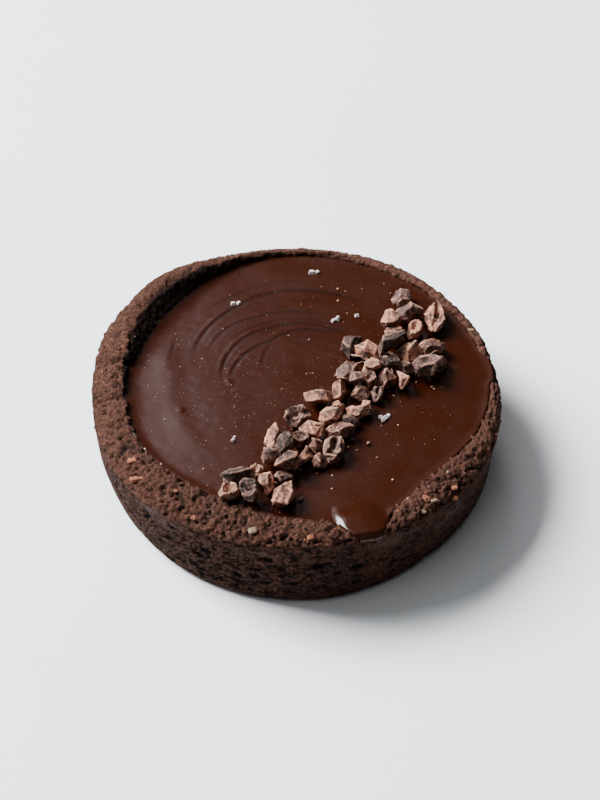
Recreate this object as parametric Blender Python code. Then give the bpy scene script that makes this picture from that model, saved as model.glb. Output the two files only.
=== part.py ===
"""A chocolate tart: a cocoa shortcrust case, its ganache filling and a drift of cacao nibs.

Units are metres and +Z is up.  The origin is the middle of the underside.
Angles are degrees anticlockwise from +X, seen from above, so -90 is the front.
The case was baked in a ring, so its wall is round, but its rim is uneven:
tall at the back left, broad and crumbled at the front left, thin at the back right,
and low at one place near the front where the ganache has run out over it.
"""

import math
import random

import bmesh
import bpy
from mathutils import Euler, Matrix, Vector
from mathutils.bvhtree import BVHTree

MM = 0.001
GAP = 0.3 * MM

# The case
WALL_RADIUS = 39.4 * MM
BASE_ROUNDING = 2.4 * MM
BASE_ROUNDING_WIDTH = 1.3 * MM
FLOOR_THICKNESS = 4.0 * MM
RIM_ROUNDING = 0.9 * MM
RIM_CROWN = 0.10
RIM_CRUMBLE = (-0.25 * MM, 0.15 * MM)
INNER_WALL_LEAN = 1.2 * MM
SECTIONS = 120

# The rim, as (angle in degrees, millimetres) from the left side anticlockwise to the left side
FOOT_RADIUS = (
    (-180, 38.9), (-168, 38.0), (-150, 37.7), (-138, 37.9), (-115, 38.7), (-80, 39.0), (-60, 38.4),
    (-47, 38.1), (-35, 38.4), (-18, 38.9), (0, 39.4), (90, 39.2), (150, 39.3),
)
RIM_OUTER_RADIUS = (
    (-180, 39.7), (-150, 39.3), (-90, 39.4), (-45, 39.4), (-15, 39.9), (15, 40.2), (40, 40.5),
    (60, 41.0), (90, 40.3), (112, 39.5), (125, 39.8), (137, 40.2), (150, 39.7), (163, 40.2),
)
RIM_OUTER_HEIGHT = (
    (-178, 17.2), (-165, 15.4), (-150, 14.8), (-135, 15.7), (-118, 16.4), (-100, 17.4), (-80, 17.9),
    (-60, 17.8), (-30, 17.0), (0, 17.0), (25, 17.9), (60, 18.0), (95, 18.0), (115, 18.9),
    (135, 20.2), (155, 19.8), (170, 18.6),
)
CREST_HEIGHT = (
    (-180, 19.0), (-160, 18.0), (-130, 17.6), (-90, 17.8), (-45, 17.7), (0, 17.3), (30, 18.0),
    (95, 18.2), (115, 19.2), (135, 20.4), (155, 20.3), (170, 19.6),
)
CREST_RADIUS = (
    (-180, 35.2), (-165, 34.0), (-150, 33.7), (-135, 32.6), (-118, 31.9), (-103, 32.1), (-90, 33.1),
    (-76, 34.2), (-57, 35.4), (-45, 34.0), (-31, 34.1), (-15, 36.3), (0, 37.9), (15, 38.6),
    (60, 38.7), (90, 38.4), (108, 37.4), (120, 36.9), (150, 37.2), (165, 36.2),
)
GANACHE_RADIUS = (
    (-180, 34.1), (-165, 33.2), (-150, 32.9), (-135, 31.8), (-118, 31.1), (-103, 31.3), (-90, 32.3),
    (-76, 33.4), (-57, 34.6), (-45, 33.2), (-31, 33.3), (-15, 35.5), (0, 37.1), (15, 38.0),
    (60, 38.1), (90, 37.8), (108, 36.8), (120, 35.4), (135, 33.7), (150, 33.0), (165, 33.3),
)

# The tongue of ganache over the low place in the rim
TONGUE_MIDDLE = -67.5
TONGUE_HALF_WIDTH = 8.0
TONGUE_REACH = 3.6 * MM

# The filling
GANACHE_LEVEL = 17.2 * MM
MENISCUS_WIDTH = 1.4 * MM
MENISCUS_RISE = 0.25 * MM

# Colours and roughness
CRUST_COLOUR = (0.075, 0.034, 0.021, 1)
GANACHE_COLOUR = (0.050, 0.013, 0.006, 1)
NIB_TONES = {
    "tan": (0.40, 0.22, 0.14, 1),
    "brown": (0.16, 0.080, 0.055, 1),
    "dark": (0.045, 0.026, 0.022, 1),
    "grey": (0.20, 0.13, 0.11, 1),
}

# How each kind of nib is broken.  A nib with corners is a shard between that many corners.
# Another is a rounded body with flat breaks, tapering ends, a hollow or a groove, and a bend.
KINDS = {
    "chunk": {"corners": 13, "taper": 0.0},
    "wedge": {"corners": 11, "taper": 0.55},
    "pebble": {"breaks": 3, "point": 0.25, "hollow": 0.0, "groove": 0.0, "bend": 0},
    "shell": {"breaks": 2, "point": 0.10, "hollow": 0.7, "groove": 0.0, "bend": 0},
    "split": {"breaks": 1, "point": 0.55, "hollow": 0.0, "groove": 0.7, "bend": 0},
    "boat": {"breaks": 1, "point": 0.85, "hollow": 0.35, "groove": 0.0, "bend": 0},
    "crescent": {"breaks": 0, "point": 0.30, "hollow": 0.0, "groove": 0.0, "bend": 190},
}

# Each nib: kind, tone, x, y, length, width, height in millimetres, then turn, roll and pitch in
# degrees.  The drift runs from the back right to the front left; the upper nibs come last.
NIBS = (
    ("pebble", "grey", 20.4, 25.0, 4.2, 3.4, 3.0, 60, 0, 0),
    ("chunk", "grey", 21.8, 20.6, 5.4, 4.4, 3.6, 15, -15, 0),
    ("split", "tan", 26.6, 20.0, 7.4, 3.8, 3.2, 84, 10, 0),
    ("chunk", "tan", 18.9, 18.2, 3.6, 3.0, 3.2, 30, 0, 10),
    ("shell", "tan", 22.9, 15.9, 3.8, 2.6, 2.8, 65, 0, 0),
    ("chunk", "brown", 18.8, 14.2, 4.4, 3.6, 3.6, 110, 20, 0),
    ("wedge", "dark", 18.1, 10.7, 6.4, 1.9, 3.6, 44, 0, 8),
    ("chunk", "dark", 10.6, 10.9, 4.4, 3.6, 3.4, 100, 15, 0),
    ("chunk", "tan", 13.7, 8.9, 3.8, 3.4, 3.4, 20, -20, 0),
    ("pebble", "brown", 26.3, 11.6, 4.8, 3.4, 3.2, 10, -25, 0),
    ("chunk", "grey", 27.4, 8.3, 3.8, 2.8, 3.2, 80, 0, 0),
    ("wedge", "tan", 22.2, 9.0, 5.0, 3.4, 3.6, 200, -20, 5),
    ("chunk", "grey", 21.2, 5.6, 3.2, 2.8, 2.8, 0, 0, 0),
    ("chunk", "grey", 24.5, 5.2, 4.4, 3.8, 3.6, 150, -10, 0),
    ("shell", "dark", 14.8, 5.6, 3.2, 2.4, 2.2, 20, 0, 0),
    ("split", "dark", 17.9, 6.5, 3.8, 2.6, 2.6, 160, 0, 0),
    ("pebble", "grey", 9.9, 3.3, 5.0, 3.8, 3.6, 60, 0, 0),
    ("shell", "brown", 13.9, 1.7, 3.4, 2.6, 2.8, 100, 0, 0),
    ("chunk", "brown", 17.3, 2.6, 4.0, 3.2, 3.2, 60, 20, 0),
    ("wedge", "tan", 20.5, 2.2, 4.2, 2.4, 2.8, 260, 0, 0),
    ("split", "grey", 16.2, -1.0, 3.4, 2.2, 2.4, 80, 0, 0),
    ("chunk", "tan", 13.2, -1.6, 3.0, 2.2, 2.4, 170, 0, 0),
    ("chunk", "tan", 8.8, -0.9, 4.2, 2.6, 3.4, 80, 10, 0),
    ("pebble", "tan", 8.6, -4.5, 2.4, 2.2, 2.2, 0, 0, 0),
    ("crescent", "tan", 11.9, -5.2, 4.2, 3.4, 2.6, 215, 0, 0),
    ("chunk", "tan", 4.9, -3.6, 4.6, 3.4, 3.4, 170, 10, 0),
    ("shell", "grey", 0.5, -8.7, 4.6, 3.6, 3.0, 25, 0, 0),
    ("chunk", "tan", 3.2, -11.2, 4.2, 3.0, 3.6, -10, -10, 0),
    ("chunk", "tan", 6.6, -8.3, 3.4, 3.2, 3.4, 40, 15, 0),
    ("pebble", "dark", 10.3, -8.4, 3.4, 2.2, 2.4, -10, 0, 0),
    ("boat", "brown", 8.3, -11.9, 5.4, 3.0, 2.6, 8, -30, 0),
    ("wedge", "tan", -4.0, -13.9, 6.8, 2.4, 3.0, 88, 15, 5),
    ("shell", "brown", 1.4, -14.3, 3.2, 2.6, 2.8, 10, 0, 0),
    ("pebble", "dark", -1.0, -16.3, 4.2, 3.0, 3.2, 70, 0, 0),
    ("split", "grey", 7.6, -16.6, 5.4, 3.4, 3.4, 78, 0, 0),
    ("chunk", "brown", 4.5, -15.9, 3.4, 2.6, 3.0, 100, 0, 0),
    ("wedge", "tan", 1.6, -19.4, 4.8, 2.2, 3.0, 232, 0, 0),
    ("pebble", "brown", -4.1, -18.9, 3.8, 3.2, 3.4, 70, 0, 0),
    ("chunk", "brown", -1.6, -23.8, 3.4, 2.4, 2.2, 0, 0, 0),
    ("shell", "tan", -6.9, -23.0, 2.6, 1.8, 2.4, 60, 0, 0),
    ("chunk", "tan", -4.9, -25.6, 4.2, 2.6, 3.2, 100, -20, 0),
    ("chunk", "dark", -9.5, -24.2, 5.8, 2.6, 2.8, 3, -20, 0),
    ("shell", "tan", -11.4, -27.6, 3.4, 2.8, 2.8, 20, 0, 0),
    ("shell", "dark", -8.3, -28.4, 4.2, 3.2, 3.2, 120, -20, 0),
    ("wedge", "tan", -2.1, -28.3, 5.8, 3.2, 3.2, 58, 25, 0),
    ("chunk", "brown", 4.6, -19.3, 2.8, 2.4, 2.4, 0, 0, 0),
    ("chunk", "tan", 14.4, 3.9, 2.6, 2.2, 1.8, 0, 0, 0),
    ("chunk", "grey", 11.6, -0.2, 2.6, 2.2, 2.0, 0, 0, 0),
    ("wedge", "brown", -1.7, -20.6, 4.4, 2.8, 3.0, 205, -20, 5),
)
NIB_SCALE = 1.10
NIB_LIFT_STEP = 0.15 * MM
NIB_SLIDES = (0.0, 0.4 * MM, 0.8 * MM)
NIB_SLIDE_EFFORT = 0.4
NIB_NEIGHBOUR_REACH = 9 * MM
NIB_ROUGHNESS = 0.10
CORNER_SPACING = 0.55
BENT_SLIMNESS = 0.36


def around(stations, angle):
    """Read a ring of (degrees, millimetres) stations at an angle, on a smooth closed curve."""
    angle = (angle + 180) % 360 - 180
    count = len(stations)
    after = next((i for i, station in enumerate(stations) if station[0] > angle), count)
    near = [stations[(after + shift) % count] for shift in (-2, -1, 0, 1)]
    turns = [(after + shift) // count for shift in (-2, -1, 0, 1)]
    places = [station[0] + 360 * turn for station, turn in zip(near, turns)]
    values = [station[1] for station in near]
    span = places[2] - places[1]
    share = (angle - places[1]) / span
    slope_in = (values[2] - values[0]) / (places[2] - places[0]) * span
    slope_out = (values[3] - values[1]) / (places[3] - places[1]) * span
    square, cube = share ** 2, share ** 3
    blend = ((2 * cube - 3 * square + 1) * values[1] + (cube - 2 * square + share) * slope_in
             + (3 * square - 2 * cube) * values[2] + (cube - square) * slope_out)
    return blend * MM


def tongue(angle):
    """How far the ganache runs out over the rim at an angle."""
    off = abs(angle - TONGUE_MIDDLE) / TONGUE_HALF_WIDTH
    if off >= 1:
        return 0.0
    return TONGUE_REACH * (1 - off ** 6)


def ganache_radius(angle):
    return around(GANACHE_RADIUS, angle) + tongue(angle)


def case_profile(angle, crumble):
    """The case's section at an angle, from the underside up the wall, over the rim and down."""
    outer = around(RIM_OUTER_RADIUS, angle)
    outer_height = around(RIM_OUTER_HEIGHT, angle)
    filling = ganache_radius(angle)
    crest = max(around(CREST_RADIUS, angle), filling + 0.4 * MM)
    crest_height = around(CREST_HEIGHT, angle)
    rim_width = outer - RIM_ROUNDING - crest
    crown = RIM_CROWN * rim_width
    foot = around(FOOT_RADIUS, angle)
    points = [
        (foot - BASE_ROUNDING_WIDTH, 0),
        (foot - 0.35 * BASE_ROUNDING_WIDTH, 0.35 * BASE_ROUNDING),
        (foot, BASE_ROUNDING),
        (0.3 * foot + 0.7 * WALL_RADIUS, 0.5 * outer_height),
        (outer, outer_height - RIM_ROUNDING),
        (outer - RIM_ROUNDING, outer_height),
    ]
    for share in (0.33, 0.67):
        height = outer_height + share * (crest_height - outer_height) + crown
        height += crumble.uniform(*RIM_CRUMBLE)
        points.append((outer - RIM_ROUNDING - share * rim_width, height))
    points += [
        (crest, crest_height),
        (0.8 * crest + 0.2 * filling - GAP, crest_height - 0.35 * MM),
        (filling, GANACHE_LEVEL),
        (filling - INNER_WALL_LEAN, FLOOR_THICKNESS),
    ]
    return points


def ganache_profile(angle):
    """The filling's section at an angle, from its foot up its side and in over its top."""
    edge = ganache_radius(angle) - GAP
    pool = around(GANACHE_RADIUS, angle) - MENISCUS_WIDTH
    return [
        (edge - INNER_WALL_LEAN, FLOOR_THICKNESS + GAP),
        (edge, GANACHE_LEVEL - GAP),
        (edge - 0.2 * MM, GANACHE_LEVEL + MENISCUS_RISE),
        (pool, GANACHE_LEVEL),
    ]


def turned_body(name, profile_at):
    """A closed body round +Z, bridged between rings, whose section at each angle is profile_at."""
    angles = [-180 + 360 * step / SECTIONS for step in range(SECTIONS)]
    sections = [profile_at(angle) for angle in angles]
    model = bmesh.new()
    rings = []
    for level in range(len(sections[0])):
        ring = bmesh.ops.create_circle(model, segments=SECTIONS, radius=1)["verts"]
        for vert, angle, section in zip(ring, angles, sections):
            radius, height = section[level]
            vert.co = Matrix.Rotation(math.radians(angle), 3, "Z") @ Vector((radius, 0, height))
        rings.append(list(dict.fromkeys(edge for vert in ring for edge in vert.link_edges)))
    for lower, upper in zip(rings, rings[1:]):
        bmesh.ops.bridge_loops(model, edges=lower + upper)
    for end in (rings[0], rings[-1]):
        bmesh.ops.edgeloop_fill(model, edges=end)
    bmesh.ops.recalc_face_normals(model, faces=model.faces)
    return finish(model, name)


def finish(model, name):
    """Turn a bmesh into an object with smooth rounds and sharp breaks."""
    mesh = bpy.data.meshes.new(name)
    model.to_mesh(mesh)
    model.free()
    mesh.shade_smooth()
    mesh.set_sharp_from_angle(angle=math.radians(35))
    piece = bpy.data.objects.new(name, mesh)
    bpy.context.collection.objects.link(piece)
    return piece


def material(name, colour, roughness):
    """A plain Principled material."""
    stuff = bpy.data.materials.new(name)
    stuff.use_nodes = True
    stuff.diffuse_color = colour
    shader = stuff.node_tree.nodes["Principled BSDF"]
    shader.inputs["Base Color"].default_value = colour
    shader.inputs["Roughness"].default_value = roughness
    shader.inputs["Metallic"].default_value = 0.0
    return stuff


def break_flat(model, direction, depth):
    """Break a nib off flat past a plane and close the break."""
    everything = model.verts[:] + model.edges[:] + model.faces[:]
    cut = bmesh.ops.bisect_plane(model, geom=everything, dist=1e-6, plane_co=direction * depth,
                                 plane_no=direction, clear_outer=True)
    edges = [item for item in cut["geom_cut"] if isinstance(item, bmesh.types.BMEdge)]
    if edges:
        bmesh.ops.edgeloop_fill(model, edges=edges)


def bent(point, degrees):
    """Bend a nib of unit half-length sideways into part of a ring."""
    half = math.radians(degrees) / 2
    ring = 1 / half
    angle = point.x * half
    reach = ring + point.y
    return Vector((reach * math.sin(angle), reach * math.cos(angle) - ring, point.z))


def shard(shape, chance):
    """An angular piece: the hull of scattered corners, narrower towards +X."""
    model = bmesh.new()
    while len(model.verts) < shape["corners"]:
        corner = Vector([chance.gauss(0, 1) for _ in "xyz"]).normalized()
        if all((corner - other.co).length > CORNER_SPACING for other in model.verts):
            model.verts.new(corner * chance.uniform(0.85, 1.15))
    for vert in model.verts:
        narrow = 1 - shape["taper"] * max(0.0, 0.5 * (vert.co.x + 1))
        vert.co.y *= narrow
        vert.co.z *= narrow
    hull = bmesh.ops.convex_hull(model, input=model.verts)
    spare = [item for item in hull["geom_interior"] if isinstance(item, bmesh.types.BMVert)]
    bmesh.ops.delete(model, geom=spare, context="VERTS")
    return model


def rounded(shape, chance):
    """A rounded piece: broken flat in places, tapered at its ends, hollowed or grooved on top."""
    model = bmesh.new()
    bmesh.ops.create_icosphere(model, subdivisions=2, radius=1.0)
    for vert in model.verts:
        vert.co *= 1 + chance.uniform(-NIB_ROUGHNESS, NIB_ROUGHNESS)
    for _ in range(shape["breaks"]):
        direction = Vector((chance.gauss(0, 1), chance.gauss(0, 1), chance.gauss(0, 0.8))).normalized()
        break_flat(model, direction, chance.uniform(0.62, 0.82))
    for vert in model.verts:
        taper = 1 - shape["point"] * min(1.0, abs(vert.co.x)) ** 2
        vert.co.y *= taper
        vert.co.z *= 0.5 + 0.5 * taper
        if vert.co.z > 0:
            middle = max(0.0, 1 - (vert.co.x ** 2 + vert.co.y ** 2) / 0.6)
            line = max(0.0, 1 - abs(vert.co.y) / 0.45) * max(0.0, 1 - vert.co.x ** 4)
            depth = shape["hollow"] * middle + shape["groove"] * line
            vert.co.z -= depth * (0.5 + 1.3 * vert.co.z)
    return model


def nib_mesh(kind, size, chance):
    """One broken cacao nib about its own middle, long along X."""
    shape = KINDS[kind]
    model = shard(shape, chance) if "corners" in shape else rounded(shape, chance)
    if shape.get("bend"):
        for vert in model.verts:
            vert.co = bent(Vector((vert.co.x, BENT_SLIMNESS * vert.co.y, vert.co.z)), shape["bend"])
    stretch_to(model, size)
    bmesh.ops.triangulate(model, faces=model.faces)
    bmesh.ops.remove_doubles(model, verts=model.verts, dist=0.02 * MM)
    bmesh.ops.dissolve_degenerate(model, edges=model.edges, dist=0.02 * MM)
    bmesh.ops.recalc_face_normals(model, faces=model.faces)
    return model


def extent(model):
    low = Vector([min(vert.co[axis] for vert in model.verts) for axis in range(3)])
    high = Vector([max(vert.co[axis] for vert in model.verts) for axis in range(3)])
    return low, high


def stretch_to(model, size):
    """Stretch a shape so that its box has the given length, width and height, centred."""
    low, high = extent(model)
    scale = [side / (top - bottom) for side, bottom, top in zip(size, low, high)]
    bmesh.ops.translate(model, vec=-(low + high) / 2, verts=model.verts)
    bmesh.ops.transform(model, matrix=Matrix.Diagonal((*scale, 1)), verts=model.verts)


def swollen(model, amount):
    """A copy of the shape moved out along its normals, as points and faces."""
    copy = model.copy()
    copy.normal_update()
    points = [vert.co + vert.normal * amount for vert in copy.verts]
    faces = [[vert.index for vert in face.verts] for face in copy.faces]
    copy.free()
    return points, faces


def lift_to_clear(points, faces, shift, resting):
    """How far a shape moved by shift must rise to clear the nibs already placed."""
    lift = 0.0
    while True:
        move = Vector((shift[0], shift[1], lift))
        tree = BVHTree.FromPolygons([point + move for point in points], faces)
        if not any(tree.overlap(other) for other in resting):
            return lift
        lift += NIB_LIFT_STEP


def settle(model, resting):
    """Let a nib slide a little and come to rest on the ganache or on the nibs below it."""
    low, high = extent(model)
    surface = GANACHE_LEVEL + GAP
    bmesh.ops.translate(model, vec=(0, 0, surface - low.z), verts=model.verts)
    middle = (low + high) / 2
    near = [tree for place, tree in resting if (place - middle).xy.length < NIB_NEIGHBOUR_REACH]
    points, faces = swollen(model, GAP)
    best = None
    for reach in NIB_SLIDES:
        for step in range(8 if reach else 1):
            turn = step * math.pi / 4
            shift = (reach * math.cos(turn), reach * math.sin(turn))
            lift = lift_to_clear(points, faces, shift, near)
            effort = lift + NIB_SLIDE_EFFORT * reach
            if best is None or effort < best[0] - 1e-9:
                best = (effort, Vector((*shift, lift)))
    bmesh.ops.translate(model, vec=best[1], verts=model.verts)
    resting.append((middle + best[1], BVHTree.FromBMesh(model)))


def add_nibs():
    """The drift of nibs, each one its own object."""
    stuff = {tone: material("nib_" + tone, colour, 0.6) for tone, colour in NIB_TONES.items()}
    resting = []
    for number, (kind, tone, x, y, length, width, height, turn, roll, pitch) in enumerate(NIBS, 1):
        size = (NIB_SCALE * length * MM, NIB_SCALE * width * MM, NIB_SCALE * height * MM)
        model = nib_mesh(kind, size, random.Random(number))
        lean = Euler((math.radians(roll), math.radians(pitch), math.radians(turn))).to_matrix()
        bmesh.ops.rotate(model, matrix=lean, verts=model.verts)
        bmesh.ops.translate(model, vec=(x * MM, y * MM, 0), verts=model.verts)
        settle(model, resting)
        piece = finish(model, f"nib_{number:02d}")
        piece.data.materials.append(stuff[tone])


def main():
    for thing in list(bpy.data.objects):
        bpy.data.objects.remove(thing, do_unlink=True)
    crumble = random.Random(11)
    case = turned_body("case", lambda angle: case_profile(angle, crumble))
    case.data.materials.append(material("crust", CRUST_COLOUR, 0.85))
    filling = turned_body("ganache", ganache_profile)
    filling.data.materials.append(material("ganache", GANACHE_COLOUR, 0.35))
    add_nibs()


main()
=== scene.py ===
"""Chocolate tart: a cocoa shortcrust case, set ganache, a drift of cacao nibs and flakes of salt.

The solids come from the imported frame, and every piece here is fitted to them.  Units are metres,
+Z is up and the origin is the middle of the underside.  Angles are degrees anticlockwise from +X,
seen from above, so -90 is the front.  Places on the tart are in millimetres.
"""

import math
import random

import bmesh
import bpy
import numpy as np
from bpy.props import FloatProperty, FloatVectorProperty, IntProperty, PointerProperty
from mathutils import Matrix, Vector, noise
from mathutils.bvhtree import BVHTree


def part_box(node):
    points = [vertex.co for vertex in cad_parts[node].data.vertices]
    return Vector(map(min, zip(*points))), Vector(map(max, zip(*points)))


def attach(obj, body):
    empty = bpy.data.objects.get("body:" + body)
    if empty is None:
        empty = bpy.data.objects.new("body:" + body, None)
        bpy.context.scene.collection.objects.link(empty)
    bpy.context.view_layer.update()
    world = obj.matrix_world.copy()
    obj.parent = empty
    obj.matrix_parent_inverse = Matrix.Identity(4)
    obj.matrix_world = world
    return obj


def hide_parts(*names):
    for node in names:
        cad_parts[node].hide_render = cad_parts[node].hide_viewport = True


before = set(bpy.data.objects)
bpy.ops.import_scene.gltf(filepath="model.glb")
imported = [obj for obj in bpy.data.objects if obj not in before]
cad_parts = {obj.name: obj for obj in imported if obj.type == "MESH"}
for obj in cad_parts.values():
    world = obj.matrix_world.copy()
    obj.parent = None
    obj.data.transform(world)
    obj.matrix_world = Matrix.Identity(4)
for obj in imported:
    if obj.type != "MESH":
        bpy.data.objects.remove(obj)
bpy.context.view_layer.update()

bl_info = {
    "name": "Chocolate Tart",
    "version": (1, 0, 0),
    "blender": (4, 5, 0),
    "location": "View3D > Sidebar > Tart",
    "description": "Crust, ganache, cacao nibs and salt for a small chocolate tart",
    "category": "Add Mesh",
}

MM = 0.001
CASE_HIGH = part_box("case")[1]
GANACHE_LOW, GANACHE_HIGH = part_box("ganache")
NIB_NODES = sorted(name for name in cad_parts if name.startswith("nib_"))
FAR = 0.2  # rays start this far off, well outside the tart
MERGE = 1e-6
NOISE_SEED = 7  # noise_vector shifts its noise by this, and by the clock where no seed is set
SOLID_GAP = 0.3 * MM  # from the inside of the case to the ganache
UP = Vector((0, 0, 1))

# The case
HEART_HEIGHT = 12.0 * MM  # the rim's rays fan out from here, inside the wall
FOOT_ROWS = (0.6, 0.95)  # rows of the underside, as shares of the foot's radius
WALL_SAMPLES = 44
RIM_SAMPLES = 100
INNER_SAMPLES = 24
DENSE_ROWS = 104
DEEP_ROWS = 5
CRUST_ROWS = len(FOOT_ROWS) + DENSE_ROWS + DEEP_ROWS
GANACHE_LINE = GANACHE_HIGH.z - 1.4 * MM

# How coarse the broken crumb of the rim is, as (degrees, 0 smooth to 1 coarse)
RIM_COARSENESS = (
    (-180, 1.0), (-150, 1.0), (-90, 1.0), (-60, 0.8), (-35, 1.0), (-10, 0.8), (25, 0.6),
    (60, 0.35), (95, 0.25), (130, 0.25), (158, 0.35), (172, 0.75),
)
# How light the rim's top is (degrees, 0 dark to 1 light): partly baked tone, partly painted light,
# darker at the front
RIM_TONE = (
    (-180, 0.62), (-150, 0.5), (-110, 0.36), (-70, 0.34), (-40, 0.32), (0, 0.5), (40, 0.75),
    (70, 0.9), (100, 0.75), (125, 0.40), (150, 0.36), (168, 0.5),
)
# How dark the inside of the rim is, where it faces away from the window
RIM_SHADE = ((-180, 0.62), (-150, 0.3), (-125, 0.0), (70, 0.0), (100, 0.4), (120, 0.62))
# How much further in the rim's shoulder reaches, as (degrees, millimetres)
RIM_SHOULDER = (
    (-175, 1.3), (-160, 0.5), (-145, 0.0), (105, 0.0), (120, 0.3), (145, 0.8), (157, 1.3),
    (168, 1.7),
)
# Deep holes in the wall: degrees, height, half width and half height in millimetres, depth
WALL_HOLES = (
    (-123.7, 13.2, 1.0, 0.5, 1.1), (-124.9, 9.4, 0.9, 0.5, 1.0), (-112.0, 11.2, 0.6, 0.4, 0.7),
    (-95.9, 13.0, 1.2, 0.5, 1.2), (-81.8, 11.3, 0.9, 0.8, 1.3), (-70.9, 9.5, 1.3, 0.6, 1.2),
    (-70.5, 4.6, 1.0, 0.5, 1.0), (-60.0, 7.5, 0.7, 0.4, 0.8), (-104.0, 7.0, 0.8, 0.4, 0.8),
    (-88.0, 6.4, 0.9, 0.4, 0.8), (-140.0, 7.6, 0.8, 0.4, 0.8), (-52.0, 12.2, 0.6, 0.5, 0.7),
)
# Smeared smooth places on the wall: degrees, height, half width in degrees, half height
WALL_SMEARS = (
    (-128.0, 13.6, 13.0, 2.2), (-60.0, 14.4, 10.0, 1.8), (-100.0, 14.6, 9.0, 1.0),
    (-40.0, 12.0, 9.0, 2.6), (150.0, 11.0, 20.0, 4.0), (20.0, 10.0, 26.0, 4.0),
)
# Cracks down over the rim at the left: degrees, half width in degrees, depth in millimetres
RIM_CRACKS = ((174.0, 1.1, 0.9), (-172.0, 1.2, 0.9), (-156.0, 0.8, 0.6), (150.0, 0.7, 0.4))

# Larger bits baked into the rim: degrees, radius, length, width in millimetres, colour
RIM_BITS = (
    (-140.5, 37.3, 2.7, 1.4, "orange"), (-147.0, 35.9, 1.8, 1.3, "orange"),
    (-100.5, 37.1, 1.9, 1.2, "pale"), (-42.8, 34.5, 1.0, 0.8, "pale"),
    (-46.9, 36.5, 1.6, 1.2, "orange"), (-50.3, 38.3, 0.8, 0.8, "pale"),
    (-45.7, 37.8, 1.3, 0.6, "pale"), (-37.4, 38.2, 1.1, 0.8, "orange"),
    (-39.1, 39.2, 1.2, 0.9, "orange"), (-50.7, 34.1, 0.7, 0.6, "pale"),
    (-33.9, 34.9, 1.2, 0.8, "pale"), (-12.0, 39.3, 0.8, 0.7, "orange"),
    (28.0, 38.9, 1.2, 0.7, "pale"), (-84.0, 37.6, 1.2, 0.9, "orange"),
    (-118.0, 37.4, 1.2, 0.8, "orange"), (-128.0, 34.6, 1.0, 0.8, "orange"),
)

# The ganache
GANACHE_COLUMNS = 560
GANACHE_ROWS = 104
MENISCUS = 1.1 * MM
SWIRL_MIDDLE = (2.5, 5.5)
# Spatula arcs about the swirl's middle: (degrees, radius) stations, half width, strength
SPATULA_ARCS = (
    (((60, 11.5), (71, 11.3), (92, 11.3), (138, 11.0), (156, 12.4), (198, 16.5)), 0.34, 1.0),
    (((50, 12.6), (73, 12.4), (100, 13.0), (127, 13.8), (151, 15.4), (194, 17.8)), 0.36, 1.0),
    (((55, 13.8), (75, 13.6), (105, 14.4), (130, 15.6), (160, 17.6)), 0.30, 0.6),
    (((70, 15.6), (98, 16.2), (126, 17.7), (150, 19.9), (170, 20.6)), 0.36, 0.8),
    (((60, 22.0), (81, 22.2), (117, 22.8), (134, 22.6), (176, 23.3)), 0.40, 0.9),
    (((75, 19.0), (110, 20.2), (140, 21.4)), 0.30, 0.4),
    (((160, 27.5), (182, 27.5)), 0.36, 0.8),
    (((130, 10.0), (142, 10.2), (184, 9.3)), 0.30, 0.7),
    (((40, 9.6), (90, 9.4), (130, 9.2)), 0.30, 0.5),
    (((30, 7.4), (80, 7.2), (120, 7.6)), 0.30, 0.4),
    (((80, 24.8), (120, 25.4), (150, 25.8)), 0.40, 0.4),
)
# Soft folds in the surface: points along each in millimetres, half width, height
SOFT_FOLDS = (
    (((-26.3, 11.8), (-25.5, 3.6), (-24.1, -4.3), (-20.6, -13.1), (-14.5, -19.1)), 2.4, 0.06),
)
# Small nodules in the surface: x, y, half width, height in millimetres
NODULES = ((-13.1, 1.5, 0.45, 0.12), (-21.8, -6.8, 0.5, 0.14), (-12.8, 0.6, 0.3, 0.10))
# How much the ganache banks up against the crust, and is darkened there by painted shadow, as
# (degrees, 0 to 1)
LEFT_BANK = ((-175, 1.0), (-155, 0.3), (-138, 0.0), (105, 0.0), (140, 1.0))
# The tongue of ganache over the front of the rim, in degrees and metres
TONGUE_ANGLE = -67.5
TONGUE_HALF_WIDTH = 8.5
TONGUE_BULGE = 0.85 * MM
TONGUE_START = 29.5 * MM
TONGUE_BED = 0.60 * MM  # how far the rim is sunk below it
# A smaller place where the ganache has crept over the rim, at the right
SPILL_ANGLE = 12.0
SPILL_HALF_WIDTH = 7.0
SPILL_RISE = 0.12 * MM
SPILL_START = 29 * MM
SPILL_BED = 0.8 * MM

# The nibs: which numbers have which tone; any other is dark
NIB_TONES = {
    "grey": (1, 2, 11, 13, 14, 17, 21, 27, 35, 48),
    "tan": (3, 4, 5, 9, 12, 20, 22, 23, 24, 25, 26, 28, 29, 32, 37, 40, 41, 43, 45, 47),
    "brown": (6, 10, 18, 19, 31, 33, 36, 38, 39, 46, 49),
}
SHARP_BREAK = 28
REFINING_PASSES = 5
NIB_SINK = 0.25 * MM

# Husks and fibres: x, y, rise above the ganache, length, width in millimetres, turn, tilt, curl
HUSKS = (
    (11.7, 7.0, 2.8, 3.0, 0.40, -30, 10, 1.2), (13.1, 4.2, 2.2, 2.4, 0.7, 40, -15, 1.0),
    (-5.9, -21.4, 1.2, 2.2, 1.0, 75, 10, 2.2), (16.1, 5.5, 3.1, 2.2, 0.16, -50, 5, 1.6),
    (14.9, 6.4, 3.2, 1.8, 0.14, 15, -5, 1.4), (26.5, 8.6, 3.3, 2.6, 0.14, 20, 5, 1.2),
    (24.6, 7.4, 3.1, 1.8, 0.14, 60, 8, 1.3), (12.4, 5.6, 2.6, 2.0, 0.16, 10, 12, 1.0),
    (18.4, 3.6, 2.7, 1.8, 0.2, 80, -10, 1.5), (-2.4, -16.0, 2.8, 1.6, 0.2, -20, 5, 1.3),
)
HUSK_THICKNESS = 0.08  # in millimetres
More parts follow.
